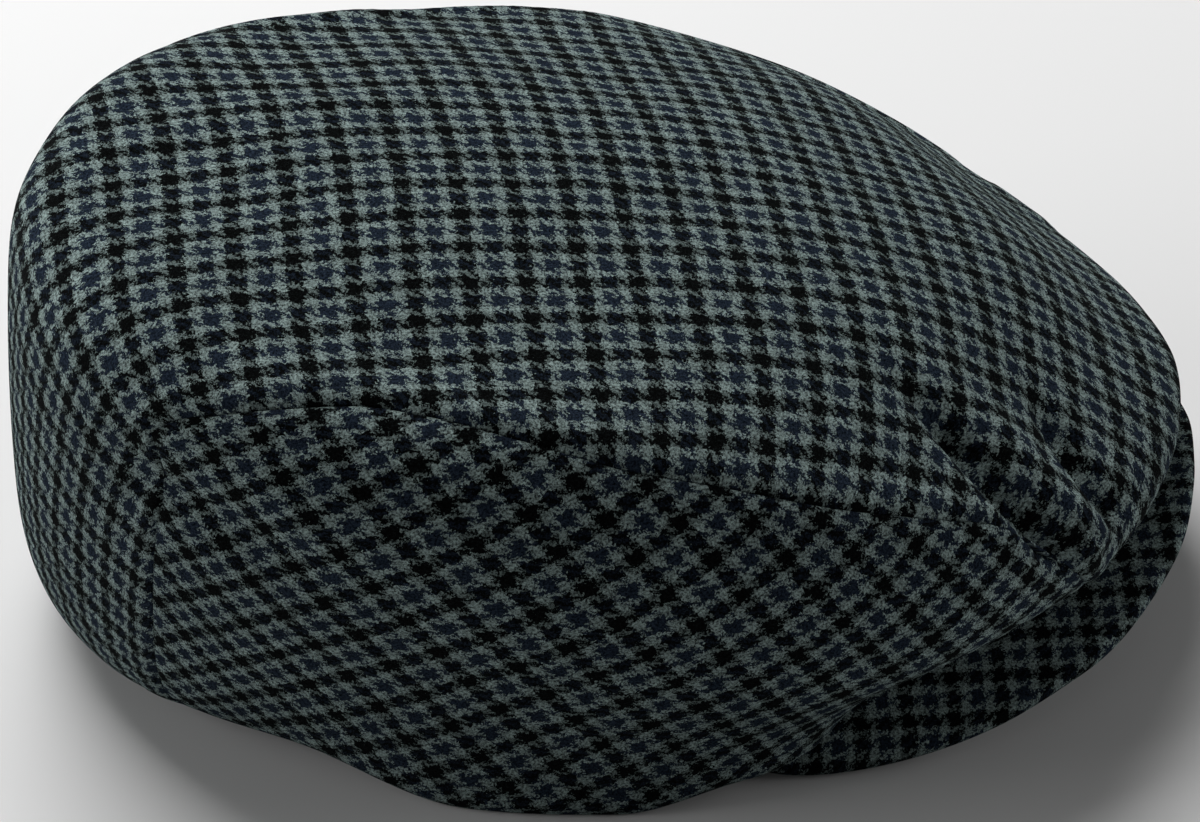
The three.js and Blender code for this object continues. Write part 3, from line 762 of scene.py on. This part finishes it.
def wool(name, shift=0.0):
    m = bpy.data.materials.new(name)
    n = Nodes(m)
    uv = n.add("ShaderNodeUVMap", uv_map="Weave").outputs[0]
    mm = n.vec("MULTIPLY", uv, (REPEAT[0], REPEAT[1], 1.0))
    mm = n.vec("ADD", mm, (shift, shift * 0.7, shift))
    # loose fibres blur the edge of each thread: two scales of wander
    w1 = n.noise(mm, 0.42, 1.0).outputs["Color"]
    w2 = n.noise(mm, 1.25, 2.0, 0.65).outputs["Color"]
    w1 = n.vec("SCALE", n.vec("SUBTRACT", w1, (0.5, 0.5, 0.5)), scale=2.4)
    w2 = n.vec("SCALE", n.vec("SUBTRACT", w2, (0.5, 0.5, 0.5)), scale=5.2)
    thread = n.vec("ADD", n.vec("SCALE", uv, scale=8.0), (2.0, 2.0, 0.0))
    thread = n.vec("ADD", n.vec("ADD", thread, w1), w2)
    sep = n.add("ShaderNodeSeparateXYZ")
    n.link(thread, sep.inputs[0])
    tx, ty = sep.outputs[0], sep.outputs[1]
    i, j = n.math("FLOOR", tx), n.math("FLOOR", ty)

    def tone(t):
        # a stripe of eight threads is part grey and part dark, the dark by turns navy and black
        off = n.math("ABSOLUTE", n.math("SUBTRACT", n.math("FRACT", n.math("DIVIDE", n.math("ADD", t, 802.0), 16.0)), 0.5))
        navy = n.math("LESS_THAN", off, 0.147)
        black = n.math("GREATER_THAN", off, 0.346)
        return n.mix(black, n.mix(navy, GREY, NAVY), BLACK), black

    over = n.math("LESS_THAN", n.math("FRACT", n.math("DIVIDE", n.math("ADD", n.math("SUBTRACT", i, j), 803.01), 4.0)), 0.5)
    (ca, ba), (cb, bb) = tone(tx), tone(ty)
    # a thread that crosses a black one is dulled by its fibres
    clear = n.math("MULTIPLY_ADD", n.math("MAXIMUM", ba, bb), -0.42, 1.0)
    cloth = n.vec("SCALE", n.mix(over, cb, ca), scale=clear)
    # fine curled fibres that lie over the surface as light ones, and painted micro-shadows in the dark gaps between
    # them
    curl = n.vec("SCALE", n.vec("SUBTRACT", n.noise(mm, 0.55, 2.0).outputs["Color"], (0.5, 0.5, 0.5)), scale=5.0)
    fx = n.vec("ADD", n.vec("MULTIPLY", mm, (0.55, 1.7, 1.0)), curl)
    fy = n.vec("ADD", n.vec("MULTIPLY", mm, (1.7, 0.55, 1.0)), curl)
    f1 = n.noise(fx, 1.15, 1.5, 0.6).outputs["Fac"]
    f2 = n.noise(fy, 1.15, 1.5, 0.6).outputs["Fac"]
    hair = n.math("MAXIMUM", n.ramp(n.math("ABSOLUTE", n.math("SUBTRACT", f1, 0.5)), 0.045, 0.0),
                  n.ramp(n.math("ABSOLUTE", n.math("SUBTRACT", f2, 0.5)), 0.045, 0.0))
    grain_and_shade = n.noise(mm, 1.7, 2.0, 0.7).outputs["Fac"]
    patch = n.noise(mm, 0.3, 2.0).outputs["Fac"]
    broad = n.noise(mm, 0.03, 2.0).outputs["Fac"]
    # painted shade: the grain noise scales the colour from 0.04 to 1.25 as micro-shadows among the fibres; hairs add
    # lighter fibres
    gain = n.math("ADD", n.ramp(grain_and_shade, 0.36, 0.64, 0.04, 1.25, False), n.math("MULTIPLY", hair, 0.45))
    gain = n.math("MULTIPLY", gain, n.ramp(patch, 0.3, 0.7, 0.84, 1.16, False))
    gain = n.math("MULTIPLY", gain, n.ramp(broad, 0.35, 0.65, 0.95, 1.05, False))
    lit = n.vec("SCALE", cloth, scale=gain)
    stray = n.math("MULTIPLY", n.math("MULTIPLY", hair, n.ramp(grain_and_shade, 0.45, 0.62)), 0.07)
    colour = n.mix(stray, lit, (0.110, 0.145, 0.150, 1.0))
    # relief: rounded threads, felted over, with hairs standing on them
    ridge_a = n.math("SINE", n.math("MULTIPLY", n.math("FRACT", tx), math.pi))
    ridge_b = n.math("SINE", n.math("MULTIPLY", n.math("FRACT", ty), math.pi))
    mixr = n.add("ShaderNodeMix", data_type="FLOAT")
    n.link(over, mixr.inputs[0]); n.link(ridge_b, mixr.inputs[2]); n.link(ridge_a, mixr.inputs[3])
    height = n.math("ADD", n.math("MULTIPLY", mixr.outputs[0], 0.45), n.math("MULTIPLY", hair, 0.55))
    height = n.math("ADD", height, n.math("MULTIPLY", grain_and_shade, 1.1))
    height = n.math("ADD", height, n.math("MULTIPLY", patch, 1.2))
    bump = n.add("ShaderNodeBump")
    bump.inputs["Strength"].default_value = 0.8
    bump.inputs["Distance"].default_value = 0.00030
    n.link(height, bump.inputs["Height"])
    b = n.add("ShaderNodeBsdfPrincipled")
    n.link(colour, b.inputs["Base Color"])
    n.link(bump.outputs[0], b.inputs["Normal"])
    b.inputs["Roughness"].default_value = 0.95
    b.inputs["Specular IOR Level"].default_value = 0.02
    b.inputs["Sheen Weight"].default_value = 0.012
    b.inputs["Sheen Roughness"].default_value = 0.45
    b.inputs["Sheen Tint"].default_value = (0.75, 0.88, 0.9, 1.0)
    out = n.add("ShaderNodeOutputMaterial")
    n.link(b.outputs[0], out.inputs[0])
    return m


for ob, slot_name, node, shift in ((crown_top, "wool_check_top", "top_panel", 0.0), (side_right, "wool_check_right", "side_panel_right", 37.0),
                                   (side_left, "wool_check_left", "side_panel_left", 91.0), (peak, "wool_check_peak", "peak", 143.0)):
    ob.data.materials.append(wool("brushed_" + slot_name, shift))
    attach(ob, "root")
    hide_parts(node)

# ---------------------------------------------------------------- floor, light, camera
me = bpy.data.meshes.new("floor")
me.from_pydata([(-4, -4, 0), (4, -4, 0), (4, 4, 0), (-4, 4, 0)], [], [(0, 1, 2, 3)])
floor = bpy.data.objects.new("floor", me)
bpy.context.scene.collection.objects.link(floor)
fm = bpy.data.materials.new("pale_floor")
fm.use_nodes = True
fb = fm.node_tree.nodes["Principled BSDF"]
fb.inputs["Base Color"].default_value = (0.72, 0.72, 0.72, 1)
fb.inputs["Roughness"].default_value = 0.9
fb.inputs["Specular IOR Level"].default_value = 0.1
me.materials.append(fm)

world = bpy.data.worlds.new("soft")
bpy.context.scene.world = world
world.use_nodes = True
world.node_tree.nodes["Background"].inputs[0].default_value = (1, 1, 1, 1)
world.node_tree.nodes["Background"].inputs[1].default_value = 0.07


def softbox(name, at, target, size, power):
    light = bpy.data.lights.new(name, "AREA")
    light.shape = "RECTANGLE"
    light.size, light.size_y = size
    light.energy = power
    ob = bpy.data.objects.new(name, light)
    bpy.context.scene.collection.objects.link(ob)
    ob.location = at
    ob.rotation_mode = "QUATERNION"
    ob.rotation_quaternion = (Vector(target) - Vector(at)).to_track_quat("-Z", "Y")


softbox("overhead", (0.88, 0.42, 1.3), (0, 0, 0.05), (1.1, 1.1), 32)
softbox("back_side", (0.0, 1.5, 0.45), (0, 0, 0.06), (0.9, 0.8), 9)
softbox("front_side", (0.0, -1.4, 0.35), (0, -0.12, 0.03), (0.9, 0.5), 5.5)

# the camera of the reference view: azimuth, elevation, roll, distance and lens
AZ, EL, ROLL_DEG, DIST = -95.607, 37.491, 0.444, 1.10805
target = Vector((0, 0.00229, 0.04476))
a, e, r = (math.radians(v) for v in (AZ, EL, ROLL_DEG))
back = Vector((math.sin(a) * math.cos(e), -math.cos(a) * math.cos(e), math.sin(e)))
right = (-back).cross(Vector((0, 0, 1))).normalized()
up = right.cross(-back)
r2 = math.cos(r) * right + math.sin(r) * up
u2 = -math.sin(r) * right + math.cos(r) * up
camera_data = bpy.data.cameras.new("camera")
camera = bpy.data.objects.new("camera", camera_data)
bpy.context.scene.collection.objects.link(camera)
camera.matrix_world = Matrix((r2, u2, back)).transposed().to_4x4()
camera.location = target + back * DIST
camera_data.sensor_width = 36
camera_data.lens = 36 * 4756.94 / 1200
camera_data.clip_start, camera_data.clip_end = 0.05, 20
bpy.context.scene.camera = camera
bpy.context.scene.view_settings.view_transform = "Standard"
